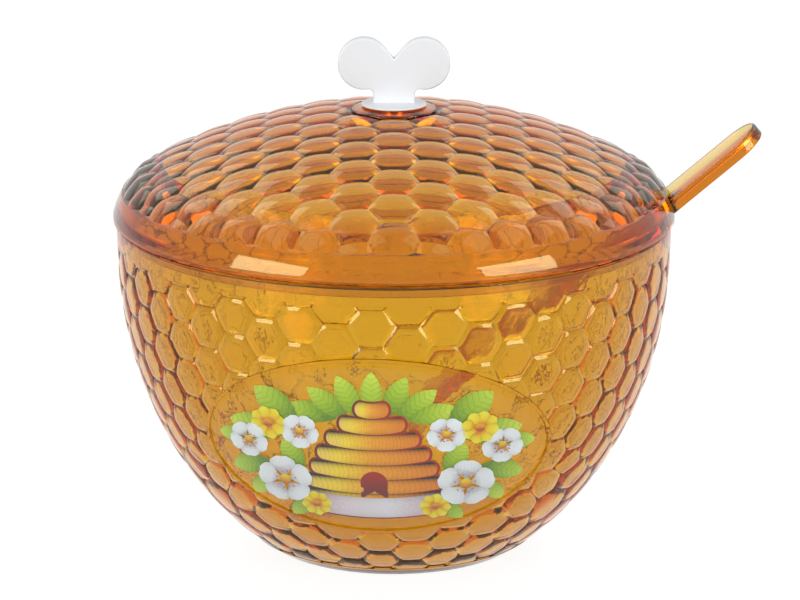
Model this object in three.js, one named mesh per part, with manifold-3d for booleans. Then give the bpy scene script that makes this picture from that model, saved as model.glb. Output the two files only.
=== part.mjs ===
// Honey jar: a honeycombed bowl with a lift-off lid, a two-lobed knob, a spoon and a printed label.
// Millimetres, +Z up, the foot stands on z = 0 and the bowl's axis is the Z axis.
import * as THREE from 'three';
import { ConvexHull } from 'three/addons/math/ConvexHull.js';
import { mergeVertices } from 'three/addons/utils/BufferGeometryUtils.js';
import Module from 'manifold-3d';

const wasm = await Module();
wasm.setup();

// Bowl
const rimRadius = 62.3;
const rimHeight = 74.9;
const straightHeight = 6;
const footRadius = 29.6;
const footBand = 4.2;
const bowlWall = 2.4;
const floorThick = 2.6;
const rimBand = 4.4;
const rimChamfer = 0.5;
const rimEase = 1.2;

// Honeycomb of the bowl: cells in upright columns, staggered by half a cell
const cellPitch = 8.87;
const topRing = 3.5;
const cellRise = 0.8;
const crownDrop = 0.15;
const upperColumns = 50;
const lowerColumns = 34;
const narrowShare = 0.79;
const joinShare = 1.3;
const labelTurn = THREE.MathUtils.degToRad(-4.5);

// Oval window and the printed film in it
const windowWidth = 73;
const windowHeight = 42.4;
const windowCentre = 37.2;
const beadWidth = 0.8;
const beadRise = 0.3;
const filmMargin = 1.2;
const filmThick = 0.2;
const filmGap = 0.1;

// Lid
const lidOverhang = 0.7;
const lidWall = 2.2;
const domeRise = 25.1;
const domeRadius = 120;
const domeShare = 0.9127;
const edgeHeight = 1.4;
const shoulderCornerShare = [0.745, 0.575];
const cellShare = 0.968;
const shoulderBlend = 1.3;
const lidColumnPitch = 8.3;
const lidRowPitch = 9;
const seatGap = 0.3;
const ribDepth = 3;
const ribThick = 1.6;
const ribGap = 0.4;
const bossRadius = 9.5;
const moatWidth = 2.4;
const moatDepth = 1.3;

// Knob
const lobeRadius = 5.85;
const lobeSpacing = 13.4;
const lobeHeight = 8.65;
const notchHeight = 9.75;
const neckWidth = 9.3;
const neckFillet = 1;
const knobThick = 3.2;
const knobRound = 0.5;
const baseRadius = 7.3;
const baseThick = 0.8;
const baseSink = 0.4;
const stemRadius = 2.6;
const stemGap = 0.3;
const barbReach = 0.7;
const barbHeight = 1.6;

// Spoon
const spoonTilt = THREE.MathUtils.degToRad(40.6);
const handleOut = 28.1;
const handleWidth = 13.6;
const neckShare = 0.7;
const handleThick = 3.1;
const handleRound = 0.6;
const scoopLength = 42;
const scoopWidth = 28;
const scoopDepth = 8;
const scoopWall = 1.6;
const spoonGap = 0.25;
const notchGap = 0.6;

// Fineness and helpers of the solids
const turnSteps = 72;
const arcSteps = 20;
const profileSteps = 8;
const curveSteps = 4;
const overrun = 6;
const weld = 1e-4;

// Places worked out from the sizes above
const bellyHeight = rimHeight - straightHeight;
const bellyDepth = bellyHeight / Math.sqrt(1 - (footRadius / rimRadius) ** 2);
const bowlInside = rimRadius - bowlWall;
const handleRest = Math.sqrt((bowlInside + rimEase) ** 2 - (handleWidth / 2) ** 2);
const lidRadius = rimRadius + lidOverhang;
const lidBottom = rimHeight + seatGap;
const domeEdge = domeShare * lidRadius;
const cellEdge = cellShare * lidRadius;

const Z = new THREE.Vector3(0, 0, 1);

function toSolid(geometry) {
  const plain = geometry.clone();
  plain.deleteAttribute('normal');
  plain.deleteAttribute('uv');
  const merged = mergeVertices(plain, weld);
  const index = merged.index.array;
  const faces = [];
  for (let i = 0; i < index.length; i += 3) {
    const [a, b, c] = [index[i], index[i + 1], index[i + 2]];
    if (a !== b && b !== c && c !== a) {
      faces.push(a, b, c);
    }
  }
  const vertProperties = new Float32Array(merged.attributes.position.array);
  const triVerts = new Uint32Array(faces);
  return new wasm.Manifold(new wasm.Mesh({ numProp: 3, vertProperties, triVerts }));
}

function toGeometry(solid) {
  const mesh = solid.getMesh();
  const geometry = new THREE.BufferGeometry();
  const positions = new Float32Array(3 * mesh.numVert);
  for (let i = 0; i < mesh.numVert; i += 1) {
    positions.set(mesh.position(i), 3 * i);
  }
  geometry.setAttribute('position', new THREE.BufferAttribute(positions, 3));
  geometry.setIndex(new THREE.BufferAttribute(new Uint32Array(mesh.triVerts), 1));
  geometry.computeVertexNormals();
  return geometry;
}

// Solid of revolution about Z from [radius, height] points, listed upwards along the outside
function revolved(points, steps = turnSteps) {
  const profile = points.map(([r, z]) => new THREE.Vector2(r, z));
  const geometry = new THREE.LatheGeometry(profile, steps);
  geometry.rotateX(Math.PI / 2);
  return toSolid(geometry);
}

function disc(radius, low, high) {
  return revolved([[0, low], [radius, low], [radius, high], [0, high]]);
}

// Upright oval prism that starts on the axis and reaches out through the labelled side
function ovalPrism(width, height) {
  const shape = new THREE.Shape();
  shape.absellipse(0, 0, width / 2, height / 2, 0, 2 * Math.PI, false, 0);
  const depth = rimRadius + overrun;
  const geometry = new THREE.ExtrudeGeometry(shape, { depth, bevelEnabled: false, curveSegments: arcSteps });
  geometry.rotateX(Math.PI / 2);
  geometry.translate(0, 0, windowCentre);
  geometry.rotateZ(labelTurn);
  return toSolid(geometry);
}

// Bowl profile: half an ellipse up to the belly, then straight to the rim
function bowlRadius(z, inset = 0) {
  const share = Math.max(0, bellyHeight - z) / (bellyDepth - inset);
  return (rimRadius - inset) * Math.sqrt(Math.max(0, 1 - share * share));
}

function bowlPoints(low, high, inset = 0, steps = profileSteps) {
  const points = [];
  for (let i = 0; i <= steps; i += 1) {
    const z = low + (high - low) * (i / steps);
    points.push([bowlRadius(z, inset), z]);
  }
  return points;
}

// Walk up the bowl's outside: height, distance along the wall and conformal latitude at each step
function bowlWalk() {
  const steps = turnSteps * arcSteps;
  const walk = [{ z: 0, along: 0, stretch: 0 }];
  for (let i = 1; i <= steps; i += 1) {
    const z = rimHeight * (i / steps);
    const last = walk[i - 1];
    const step = Math.hypot(z - last.z, bowlRadius(z) - bowlRadius(last.z));
    const stretch = last.stretch + step / bowlRadius(z);
    walk.push({ z, along: last.along + step, stretch });
  }
  return walk;
}

function onSphere(angle, stretch) {
  const latitude = 2 * Math.atan(Math.exp(stretch)) - Math.PI / 2;
  const flat = Math.cos(latitude);
  return new THREE.Vector3(flat * Math.cos(angle), flat * Math.sin(angle), Math.sin(latitude));
}

// One ring of sites round the bowl, the first on the label's centre line or half a step past it
function siteRing(walk, along, count, half, kind) {
  const point = walk.find((step) => step.along >= along) ?? walk[walk.length - 1];
  const middle = walk[walk.length - 1].stretch;
  const sites = [];
  for (let i = 0; i < count; i += 1) {
    const angle = labelTurn - Math.PI / 2 + ((i + half / 2) / count) * 2 * Math.PI;
    const radius = bowlRadius(point.z);
    const place = new THREE.Vector3(radius * Math.cos(angle), radius * Math.sin(angle), point.z);
    sites.push({ place, ball: onSphere(angle, point.stretch - middle), kind });
  }
  return sites;
}

function bowlSites() {
  const walk = bowlWalk();
  const total = walk[walk.length - 1].along;
  const step = cellPitch / 2;
  const sites = [{ place: new THREE.Vector3(0, 0, rimHeight - topRing), ball: Z.clone(), kind: 'cap' }];
  sites.push(...siteRing(walk, total - topRing, upperColumns, 0, 'flat'));
  let along = total - rimBand - step;
  let half = 0;
  while (bowlRadius(walk.find((point) => point.along >= along).z) > narrowShare * rimRadius) {
    sites.push(...siteRing(walk, along, upperColumns / 2, half, 'cell'));
    along -= step;
    half = 1 - half;
  }
  along += step - joinShare * step;
  half = 0;
  while (along > footBand + step / 2) {
    sites.push(...siteRing(walk, along, lowerColumns / 2, half, 'cell'));
    along -= step;
    half = 1 - half;
  }
  const last = siteRing(walk, footBand / 2, lowerColumns, 0, 'flat');
  sites.push(...last);
  sites.push({ place: new THREE.Vector3(0, 0, last[0].place.z), ball: Z.clone().negate(), kind: 'cap' });
  return sites;
}

// Pillowed skin: each cell is a fan from its crown to a groove that runs midway to its neighbours
function honeycomb(sites, settle) {
  const hull = new ConvexHull().setFromPoints(sites.map((site) => site.ball));
  const siteOf = new Map(sites.map((site) => [site.ball, site]));
  const corners = new Map();
  for (const face of hull.faces) {
    const near = [0, 1, 2].map((i) => siteOf.get(face.getEdge(i).head().point));
    const corner = new THREE.Vector3();
    near.forEach((site) => corner.addScaledVector(site.place, 1 / near.length));
    const capped = near.some((site) => site.kind === 'cap');
    const grooved = near.some((site) => site.kind === 'cell');
    corners.set(face, capped ? corner : settle(corner, grooved ? cellRise : crownDrop));
  }
  const crowns = new Map();
  for (const site of sites) {
    crowns.set(site.ball, site.kind === 'cap' ? site.place : settle(site.place, crownDrop));
  }
  const positions = [];
  for (const face of hull.faces) {
    for (let i = 0; i < 3; i += 1) {
      const edge = face.getEdge(i);
      const fan = [crowns.get(edge.tail().point), corners.get(edge.twin.face), corners.get(face)];
      fan.forEach((point) => positions.push(point.x, point.y, point.z));
    }
  }
  const geometry = new THREE.BufferGeometry();
  geometry.setAttribute('position', new THREE.Float32BufferAttribute(positions, 3));
  return toSolid(geometry);
}

// Put a point of the bowl's skin on the ellipse, sunk square to the wall by the given depth
function settleOnBowl(point, depth) {
  const z = point.z;
  const radius = bowlRadius(z);
  const slope = Math.max(0, bellyHeight - z) / bellyDepth ** 2;
  const lean = Math.atan2(slope, radius / rimRadius ** 2);
  const angle = Math.atan2(point.y, point.x);
  const sunk = radius - depth * Math.cos(lean);
  return new THREE.Vector3(sunk * Math.cos(angle), sunk * Math.sin(angle), z + depth * Math.sin(lean));
}

function makeBowl() {
  const skin = honeycomb(bowlSites(), settleOnBowl);
  const bandLow = rimHeight - rimBand;
  const band = revolved([
    [0, bandLow],
    [bowlRadius(bandLow), bandLow],
    ...(bellyHeight > bandLow ? [[rimRadius, bellyHeight]] : []),
    [rimRadius, rimHeight - rimChamfer],
    [rimRadius - rimChamfer, rimHeight],
    [0, rimHeight],
  ]);
  const footTop = footBand * (1 - footRadius / rimRadius);
  const footSide = bowlPoints(rimChamfer, footTop, 0, curveSteps);
  const foot = revolved([[0, 0], [footRadius - rimChamfer, 0], ...footSide, [0, footTop]]);
  const low = windowCentre - windowHeight / 2 - beadWidth;
  const high = windowCentre + windowHeight / 2 + beadWidth;
  const smooth = revolved([[0, low], ...bowlPoints(low, high), [0, high]]);
  const raised = revolved([[0, low], ...bowlPoints(low, high, -beadRise), [0, high]]);
  const beyond = revolved([[0, low], ...bowlPoints(low, high, -overrun), [0, high]]);
  const pane = ovalPrism(windowWidth, windowHeight).intersect(beyond.subtract(smooth));
  const bead = ovalPrism(windowWidth + 2 * beadWidth, windowHeight + 2 * beadWidth).intersect(raised);
  const cavity = revolved([
    [0, floorThick],
    ...bowlPoints(floorThick, bellyHeight, bowlWall),
    [bowlInside, rimHeight - rimEase],
    [bowlInside + rimEase, rimHeight],
    [bowlInside + rimEase, rimHeight + overrun],
    [0, rimHeight + overrun],
  ]);
  return skin.add(band).add(foot).add(bead).subtract(pane).subtract(cavity);
}

function makeLabel() {
  const low = windowCentre - windowHeight / 2;
  const high = windowCentre + windowHeight / 2;
  const back = revolved([[0, low], ...bowlPoints(low, high, -filmGap), [0, high]]);
  const face = revolved([[0, low], ...bowlPoints(low, high, -filmGap - filmThick), [0, high]]);
  const oval = ovalPrism(windowWidth - 2 * filmMargin, windowHeight - 2 * filmMargin);
  return face.subtract(back).intersect(oval);
}

// Height of the lid's smooth dome over the parting plane
function domeHeight(radius) {
  return domeRise - domeRadius + Math.sqrt(domeRadius ** 2 - radius ** 2);
}

// Curve of the lid's shoulder, from the upright edge up to the dome: its two ends and its corner
function shoulderEnds(inset) {
  const start = domeEdge - inset;
  const high = rimHeight + domeHeight(start) - inset;
  const side = lidRadius - inset;
  const low = lidBottom + edgeHeight;
  const corner = new THREE.Vector2(
    start + (side - start) * shoulderCornerShare[0],
    low + (high - low) * shoulderCornerShare[1],
  );
  return [new THREE.Vector2(side, low), corner, new THREE.Vector2(start, high)];
}

function shoulderPoints(inset, steps = curveSteps) {
  const curve = new THREE.QuadraticBezierCurve(...shoulderEnds(inset));
  return curve.getPoints(steps).map((point) => [point.x, point.y]);
}

// Height and slope of the lid's outside at a radius; past its edge it runs straight on
function lidOutside(radius) {
  if (radius <= domeEdge) {
    const rise = Math.sqrt(domeRadius ** 2 - radius ** 2);
    return { z: rimHeight + domeHeight(radius), slope: -radius / rise };
  }
  const [side, corner, start] = shoulderEnds(0);
  const bend = side.x - 2 * corner.x + start.x;
  const lean = 2 * (side.x - corner.x);
  const left = Math.max(0, side.x - radius);
  const t = (2 * left) / (lean + Math.sqrt(lean ** 2 - 4 * bend * left));
  const z = (1 - t) ** 2 * side.y + 2 * t * (1 - t) * corner.y + t ** 2 * start.y;
  const along = (1 - t) * (corner.x - side.x) + t * (start.x - corner.x);
  const up = (1 - t) * (corner.y - side.y) + t * (start.y - corner.y);
  return { z: z + Math.max(0, radius - side.x) * (up / along), slope: up / along };
}

// A point of the lid's outside, sunk square to it by the given depth, as radius and height
function sunkOnLid(radius, depth) {
  const { z, slope } = lidOutside(radius);
  const square = Math.hypot(1, slope);
  return [radius + (depth * slope) / square, z - depth / square];
}

function settleOnLid(point, depth) {
  const angle = Math.atan2(point.y, point.x);
  const [radius, z] = sunkOnLid(Math.hypot(point.x, point.y), depth);
  return new THREE.Vector3(radius * Math.cos(angle), radius * Math.sin(angle), z);
}

// Cells of the lid lie on a flat grid that is projected up on to its outside
function lidSites() {
  const reach = cellEdge + lidRowPitch / 2;
  const sites = [{ place: new THREE.Vector3(0, 0, rimHeight), ball: Z.clone().negate(), kind: 'cap' }];
  const onLid = (x, y, kind) => {
    const radius = Math.hypot(x, y);
    const stretch = -Math.log(radius / lidRadius);
    const place = settleOnLid(new THREE.Vector3(x, y, 0), 0);
    sites.push({ place, ball: onSphere(Math.atan2(y, x), stretch), kind });
  };
  const columns = Math.ceil(reach / lidColumnPitch);
  const rows = Math.ceil(reach / lidRowPitch);
  for (let column = -columns; column <= columns; column += 1) {
    const half = Math.abs(column % 2) === 1 ? 0 : 1 / 2;
    for (let row = -rows - 1; row <= rows; row += 1) {
      const x = column * lidColumnPitch;
      const y = (row + half) * lidRowPitch;
      const radius = Math.hypot(x, y);
      if (radius < reach && radius > lidRowPitch / 4) {
        onLid(x, y, 'cell');
      }
    }
  }
  const edgeSites = 2 * turnSteps / 3;
  for (let i = 0; i < edgeSites; i += 1) {
    const angle = (i / edgeSites) * 2 * Math.PI;
    const edge = reach + lidRowPitch / 2;
    onLid(edge * Math.cos(angle), edge * Math.sin(angle), 'flat');
  }
  return sites;
}

// Lid profile from one radius in to the axis, sunk under the outside by the given depth
function underLid(from, depth) {
  const points = [];
  for (let i = 0; i <= profileSteps; i += 1) {
    points.push(sunkOnLid(from * (1 - i / profileSteps), depth));
  }
  return points;
}

function domePoints(from, drop) {
  const points = [];
  for (let i = 1; i <= profileSteps; i += 1) {
    const radius = from * (1 - i / profileSteps);
    points.push([radius, rimHeight + domeHeight(radius) - drop]);
  }
  return points;
}

// The handle's axis: its sides lie on the eased inner edge of the rim, and it tilts down into the bowl
function spoonFrame() {
  const along = new THREE.Vector3(Math.cos(spoonTilt), 0, Math.sin(spoonTilt));
  const up = new THREE.Vector3(-Math.sin(spoonTilt), 0, Math.cos(spoonTilt));
  const across = new THREE.Vector3(0, 1, 0);
  const origin = new THREE.Vector3(handleRest, 0, rimHeight).addScaledVector(up, handleThick / 2 + spoonGap);
  return new THREE.Matrix4().makeBasis(along, across, up).setPosition(origin);
}

// Height of the notch's level roof: the handle leaves the lid's shoulder just under it
function notchRoof() {
  const onHandle = new THREE.Vector3(0, 0, handleThick / 2 + notchGap).applyMatrix4(spoonFrame());
  const reached = shoulderPoints(0, turnSteps).map(([x, z]) => {
    const handleTop = onHandle.z + (x - onHandle.x) * Math.tan(spoonTilt);
    return Math.min(z, handleTop);
  });
  return Math.max(...reached);
}

function makeLid() {
  const core = revolved([
    [0, lidBottom],
    [lidRadius - rimChamfer, lidBottom],
    [lidRadius, lidBottom + rimChamfer],
    ...shoulderPoints(0).filter(([r]) => r > cellEdge),
    sunkOnLid(cellEdge, 0),
    ...underLid(cellEdge - shoulderBlend, 2 * cellRise),
  ]);
  const top = rimHeight + domeRise;
  const column = disc(cellEdge, lidBottom + edgeHeight, top);
  const cells = honeycomb(lidSites(), settleOnLid).intersect(column);
  const bossTop = rimHeight + domeHeight(bossRadius);
  const boss = revolved([
    [0, rimHeight + edgeHeight],
    [bossRadius, rimHeight + edgeHeight],
    [bossRadius, bossTop],
    [baseRadius, top],
    [0, top],
  ]);
  const moat = revolved([
    [0, bossTop - moatDepth],
    [bossRadius, bossTop - moatDepth],
    [bossRadius + moatWidth, top],
    [0, top],
  ]);
  const ribOuter = bowlInside - ribGap;
  const ribInner = ribOuter - ribThick;
  const rib = disc(ribOuter, rimHeight - ribDepth, lidBottom + edgeHeight);
  const hollowTop = cellRise + lidWall;
  const inner = shoulderPoints(lidRadius - ribInner).filter(([r]) => r > 0);
  const cavity = revolved([
    [0, rimHeight - ribDepth - overrun],
    [ribInner, rimHeight - ribDepth - overrun],
    ...inner,
    ...domePoints(inner[inner.length - 1][0], hollowTop),
  ]);
  const stemHole = revolved([
    [0, rimHeight],
    [stemRadius + stemGap, rimHeight],
    [stemRadius + stemGap, top + overrun],
    [0, top + overrun],
  ]);
  const notchLow = rimHeight - ribDepth - overrun;
  const notchHigh = notchRoof();
  const notchReach = lidRadius - ribInner + 2 * overrun;
  const notch = new THREE.BoxGeometry(notchReach, handleWidth + 2 * notchGap, notchHigh - notchLow);
  notch.translate((lidRadius + ribInner) / 2, 0, (notchLow + notchHigh) / 2);
  const shell = core.add(cells).subtract(moat).add(boss).add(rib);
  return shell.subtract(cavity).subtract(stemHole).subtract(toSolid(notch));
}

function knobOutline() {
  const half = neckWidth / 2;
  const centre = lobeSpacing / 2;
  const shape = new THREE.Shape();
  const reach = lobeRadius + neckFillet;
  const filletX = half + neckFillet;
  const filletZ = lobeHeight - Math.sqrt(reach ** 2 - (filletX - centre) ** 2);
  const touch = Math.atan2(filletZ - lobeHeight, filletX - centre);
  const aside = Math.hypot(centre, notchHeight - lobeHeight);
  const toCentre = Math.atan2(lobeHeight - notchHeight, centre);
  const tangent = toCentre + Math.asin(lobeRadius / aside);
  const leave = tangent + Math.PI / 2;
  shape.moveTo(-half, -baseSink);
  shape.lineTo(half, -baseSink);
  shape.lineTo(half, filletZ);
  shape.absarc(filletX, filletZ, neckFillet, Math.PI, touch + Math.PI, true);
  shape.absarc(centre, lobeHeight, lobeRadius, touch, leave, false);
  shape.lineTo(0, notchHeight);
  shape.absarc(-centre, lobeHeight, lobeRadius, Math.PI - leave, Math.PI - touch, false);
  shape.absarc(-filletX, filletZ, neckFillet, -touch, 0, true);
  shape.lineTo(-half, -baseSink);
  return shape;
}

function makeKnob() {
  const baseTop = rimHeight + domeRise + seatGap + baseThick;
  const plate = new THREE.ExtrudeGeometry(knobOutline(), {
    depth: knobThick - 2 * knobRound,
    bevelThickness: knobRound,
    bevelSize: knobRound,
    bevelOffset: -knobRound,
    bevelSegments: 2,
    curveSegments: arcSteps / 2,
  });
  plate.translate(0, 0, knobRound - knobThick / 2);
  plate.rotateX(Math.PI / 2);
  plate.translate(0, 0, baseTop);
  const under = rimHeight + domeRise - cellRise - lidWall - stemGap;
  const stem = revolved([
    [0, under - barbHeight],
    [stemRadius, under - barbHeight],
    [stemRadius + barbReach, under],
    [stemRadius, under],
    [stemRadius, baseTop - baseThick],
    [baseRadius - knobRound, baseTop - baseThick],
    [baseRadius, baseTop - baseThick + knobRound],
    [baseRadius - knobRound, baseTop - baseSink],
    [0, baseTop],
  ], turnSteps / 2);
  return toSolid(plate).add(stem);
}

// Plan of the handle in its own frame: +X along it towards the free end, round at both ends
function handlePlan(neckAt) {
  const end = handleOut;
  const wide = handleWidth / 2 - handleRound;
  const neck = wide * neckShare;
  const shape = new THREE.Shape();
  shape.moveTo(neckAt, -neck);
  shape.lineTo(0, -wide);
  shape.lineTo(end - wide, -wide);
  shape.absarc(end - wide, 0, wide, -Math.PI / 2, Math.PI / 2, false);
  shape.lineTo(0, wide);
  shape.lineTo(neckAt, neck);
  shape.absarc(neckAt, 0, neck, Math.PI / 2, 3 * Math.PI / 2, false);
  return shape;
}

function halfEllipsoid(length, width, depth) {
  const ball = new THREE.SphereGeometry(1, arcSteps, arcSteps / 2);
  ball.rotateX(Math.PI / 2);
  ball.scale(length / 2, width / 2, depth);
  return toSolid(ball);
}

function makeSpoon() {
  const floorDrop = rimHeight - floorThick - seatGap;
  const rise = (handleThick / 2 + spoonGap) * Math.cos(spoonTilt);
  const tip = -(floorDrop + rise - scoopWall * Math.cos(spoonTilt)) / Math.sin(spoonTilt);
  const middle = tip + scoopLength / 2;
  const plan = handlePlan(middle + scoopLength / 2 - scoopWall);
  const handle = new THREE.ExtrudeGeometry(plan, {
    depth: handleThick - 2 * handleRound,
    bevelThickness: handleRound,
    bevelSize: handleRound,
    bevelSegments: 2,
    curveSegments: arcSteps / 2,
  });
  handle.translate(0, 0, handleRound - handleThick / 2);
  const above = new THREE.BoxGeometry(scoopLength + overrun, scoopWidth + overrun, scoopDepth + overrun);
  above.translate(0, 0, handleThick / 2 - scoopWall + (scoopDepth + overrun) / 2);
  const outer = halfEllipsoid(scoopLength, scoopWidth, scoopDepth).subtract(toSolid(above));
  const hollow = halfEllipsoid(scoopLength - 2 * scoopWall, scoopWidth - 2 * scoopWall, scoopDepth - scoopWall);
  const place = [middle, 0, 0];
  const spoon = toSolid(handle).add(outer.translate(place)).subtract(hollow.translate(place));
  return spoon.transform(spoonFrame().toArray());
}

function piece(name, solid, color, roughness, opacity) {
  const material = new THREE.MeshStandardMaterial({ color, roughness, metalness: 0 });
  material.opacity = opacity;
  material.transparent = opacity < 1;
  const mesh = new THREE.Mesh(toGeometry(solid), material);
  mesh.name = name;
  return mesh;
}

const amber = 0xd98a12;
const amberClear = 0.6;
const jar = new THREE.Group();
jar.add(piece('bowl', makeBowl(), amber, 0.12, amberClear));
jar.add(piece('label', makeLabel(), 0xf0c860, 0.35, 1));
jar.add(piece('lid', makeLid(), amber, 0.12, amberClear));
jar.add(piece('knob', makeKnob(), 0xece8ee, 0.3, 1));
jar.add(piece('spoon', makeSpoon(), amber, 0.12, amberClear));

export default jar;
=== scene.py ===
# Honey jar with a lift-off lid and a spoon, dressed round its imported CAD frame. Metres, +Z up.
import math

import bmesh
import bpy
import numpy as np
from mathutils import Matrix, Vector


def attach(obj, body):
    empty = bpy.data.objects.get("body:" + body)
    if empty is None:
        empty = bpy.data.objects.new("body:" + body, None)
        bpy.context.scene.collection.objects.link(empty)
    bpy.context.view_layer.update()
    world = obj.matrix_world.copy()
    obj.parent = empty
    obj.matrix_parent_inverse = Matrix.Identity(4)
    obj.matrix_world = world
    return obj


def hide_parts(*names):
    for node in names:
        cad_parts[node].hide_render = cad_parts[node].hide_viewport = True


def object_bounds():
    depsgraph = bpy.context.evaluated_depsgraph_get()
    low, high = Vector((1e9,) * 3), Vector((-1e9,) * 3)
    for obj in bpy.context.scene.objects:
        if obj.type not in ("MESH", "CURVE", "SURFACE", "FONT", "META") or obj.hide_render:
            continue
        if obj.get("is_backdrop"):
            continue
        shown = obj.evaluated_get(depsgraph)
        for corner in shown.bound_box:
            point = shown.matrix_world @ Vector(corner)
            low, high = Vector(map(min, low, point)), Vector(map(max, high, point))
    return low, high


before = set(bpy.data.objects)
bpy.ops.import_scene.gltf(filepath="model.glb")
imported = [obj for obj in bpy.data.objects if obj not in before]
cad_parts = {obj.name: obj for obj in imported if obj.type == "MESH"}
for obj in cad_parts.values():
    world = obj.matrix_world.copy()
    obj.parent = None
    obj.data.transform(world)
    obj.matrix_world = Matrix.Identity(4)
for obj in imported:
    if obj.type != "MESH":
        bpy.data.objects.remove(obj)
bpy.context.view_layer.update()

# Bowl: one thin-walled moulding in clear amber polystyrene, with a honeycomb relief all round.
# The cells are shallow pillows that meet in grooves, under a smooth rim band and over a smooth foot,
# and a smooth oval window with a raised bead is left for the label.
RIM_RADIUS = 0.0623
RIM_HEIGHT = 0.0749
STRAIGHT_HEIGHT = 0.006
FOOT_RADIUS = 0.0296
FOOT_BAND = 0.0042
BOWL_WALL = 0.0024
FLOOR_THICK = 0.0026
RIM_BAND = 0.0044
RIM_ROUND = 0.0006
RIM_EASE = 0.0012
CELL_PITCH = 0.00887
TOP_RING = 0.0035
CELL_REACH = 0.0052
CELL_RISE = 0.0007
CROWN_DROP = 0.00008
CELL_DOME = 0.3
BEVEL_POWER = 8
FLAT_POWER = 10
WELD_GRID = 1e7
BOWL_DENSITY = 1350.0
BOWL_WAVES = 0.00006
UPPER_COLUMNS = 50
LOWER_COLUMNS = 34
NARROW_SHARE = 0.79
JOIN_SHARE = 1.3
LABEL_TURN = math.radians(-4.5)
WINDOW_WIDTH = 0.073
WINDOW_HEIGHT = 0.0424
WINDOW_CENTRE = 0.0372
BEAD_WIDTH = 0.0008
BEAD_RISE = 0.0003
OVERRUN = 0.006
CREASE = math.radians(17)

BELLY_HEIGHT = RIM_HEIGHT - STRAIGHT_HEIGHT
BELLY_DEPTH = BELLY_HEIGHT / math.sqrt(1 - (FOOT_RADIUS / RIM_RADIUS) ** 2)
BOWL_INSIDE = RIM_RADIUS - BOWL_WALL


def mesh_object(name, points, faces):
    mesh = bpy.data.meshes.new(name)
    mesh.from_pydata([tuple(p) for p in points], [], [tuple(int(i) for i in f) for f in faces])
    mesh.validate()
    mesh.update()
    thing = bpy.data.objects.new(name, mesh)
    bpy.context.scene.collection.objects.link(thing)
    return thing


def turned(name, profile, steps=384):
    """Closed solid of revolution from (radius, height) points that run upwards along its outside."""
    points, rings = [], []
    for radius, height in profile:
        if radius < 1e-7:
            rings.append([len(points)])
            points.append((0, 0, height))
            continue
        rings.append(list(range(len(points), len(points) + steps)))
        for i in range(steps):
            angle = 2 * math.pi * i / steps
            points.append((radius * math.cos(angle), radius * math.sin(angle), height))
    faces = []
    for low, high in zip(rings, rings[1:]):
        for i in range(steps):
            j = (i + 1) % steps
            if len(low) == 1 and len(high) > 1:
                faces.append((low[0], high[j], high[i]))
            elif len(high) == 1 and len(low) > 1:
                faces.append((low[i], low[j], high[0]))
            elif len(low) > 1:
                faces.append((low[i], low[j], high[j], high[i]))
    return mesh_object(name, points, faces)


def carve(body, tool, operation):
    """Cut, join or keep the common part of two closed meshes, and use up the tool."""
    step = body.modifiers.new("carve", "BOOLEAN")
    step.operation = operation
    step.solver = "MANIFOLD"
    step.object = tool
    bpy.context.view_layer.update()
    shaped = body.evaluated_get(bpy.context.evaluated_depsgraph_get())
    mesh = bpy.data.meshes.new_from_object(shaped)
    body.modifiers.clear()
    old = body.data
    body.data = mesh
    bpy.data.meshes.remove(old)
    bpy.data.objects.remove(tool)


def smooth(thing, crease=CREASE):
    thing.data.shade_smooth()
    thing.data.set_sharp_from_angle(angle=crease)


def bowl_radius(z, inset=0.0):
    share = np.maximum(0, BELLY_HEIGHT - z) / (BELLY_DEPTH - inset)
    return (RIM_RADIUS - inset) * np.sqrt(np.maximum(0, 1 - share * share))


def bowl_side(low, high, inset=0.0, steps=48):
    return [(float(bowl_radius(z, inset)), float(z)) for z in np.linspace(low, high, steps + 1)]


def on_ball(angle, stretch):
    latitude = 2 * math.atan(math.exp(stretch)) - math.pi / 2
    flat = math.cos(latitude)
    return Vector((flat * math.cos(angle), flat * math.sin(angle), math.sin(latitude)))


def bowl_sites():
    """Centres of the cells, as place, point on a unit ball and kind."""
    heights = np.linspace(0, RIM_HEIGHT, 3000)
    radii = bowl_radius(heights)
    steps = np.hypot(np.diff(heights), np.diff(radii))
    along = np.concatenate([[0], np.cumsum(steps)])
    stretch = np.concatenate([[0], np.cumsum(steps / radii[1:])])
    sites = []

    def ring(at, count, half, kind):
        z = float(np.interp(at, along, heights))
        radius = float(bowl_radius(z))
        ball = float(np.interp(at, along, stretch)) - stretch[-1]
        for i in range(count):
            angle = LABEL_TURN - math.pi / 2 + (i + half / 2) / count * 2 * math.pi
            place = Vector((radius * math.cos(angle), radius * math.sin(angle), z))
            sites.append((place, on_ball(angle, ball), kind))
        return z

    step = CELL_PITCH / 2
    sites.append((Vector((0, 0, RIM_HEIGHT - TOP_RING)), Vector((0, 0, 1)), "cap"))
    ring(along[-1] - TOP_RING, UPPER_COLUMNS, 0, "flat")
    at, half = along[-1] - RIM_BAND - step, 0
    while bowl_radius(np.interp(at, along, heights)) > NARROW_SHARE * RIM_RADIUS:
        ring(at, UPPER_COLUMNS // 2, half, "cell")
        at, half = at - step, 1 - half
    at, half = at + step - JOIN_SHARE * step, 0
    while at > FOOT_BAND + step / 2:
        ring(at, LOWER_COLUMNS // 2, half, "cell")
        at, half = at - step, 1 - half
    low = ring(FOOT_BAND / 2, LOWER_COLUMNS, 0, "flat")
    sites.append((Vector((0, 0, low)), Vector((0, 0, -1)), "cap"))
    return sites


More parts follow.
